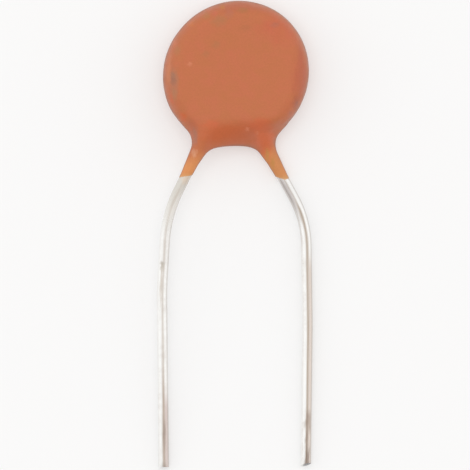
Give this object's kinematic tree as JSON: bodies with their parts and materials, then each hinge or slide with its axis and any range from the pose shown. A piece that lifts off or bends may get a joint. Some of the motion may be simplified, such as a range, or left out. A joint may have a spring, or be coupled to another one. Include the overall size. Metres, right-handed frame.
{
  "type": "ceramic disc capacitor",
  "caption": "Radial ceramic disc capacitor: a thin round disc in a dipped coat that runs down onto two tinned wire leads.",
  "frame": {"origin": "centre of the coated disc, on the surface that its back face rests on", "axes": "+Z out of the disc's front face, -Y along the leads from the disc to their tips, +X towards the lead on the back of the disc"},
  "size_m": [0.0081, 0.0242, 0.0027],
  "materials": {
    "dipped_coat": "satin",
    "tinned_wire": "bright tin",
    "ceramic_body": "fired, unglazed",
    "fired_silver": "matt",
    "solder_metal": "dull"
  },
  "bodies": {
    "root": {"coating": "dipped_coat", "ceramic_disc": "ceramic_body", "front_electrode": "fired_silver", "back_electrode": "fired_silver", "left_lead": "tinned_wire", "right_lead": "tinned_wire", "front_solder": "solder_metal", "back_solder": "solder_metal"}
  },
  "joints": []
}
